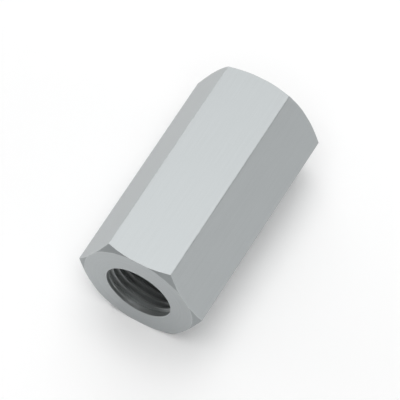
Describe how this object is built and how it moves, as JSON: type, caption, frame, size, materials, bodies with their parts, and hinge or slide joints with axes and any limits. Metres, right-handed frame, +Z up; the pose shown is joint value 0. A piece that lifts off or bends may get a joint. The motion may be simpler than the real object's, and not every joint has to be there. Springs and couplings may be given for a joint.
{
  "type": "coupling nut",
  "caption": "Long hexagon nut with chamfered ends and a fine metric thread right through, for joining two threaded rods end to end.",
  "frame": {"origin": "on the thread's axis, halfway along the nut", "axes": "+Y along the thread from the front end to the rear end, +Z up and square to the flat opposite the one it lies on, +X to the right seen from the front"},
  "size_m": [0.0278, 0.048, 0.024],
  "materials": {
    "zinc_plated_steel": "satin"
  },
  "bodies": {
    "root": {"coupling_nut": "zinc_plated_steel"}
  },
  "joints": []
}
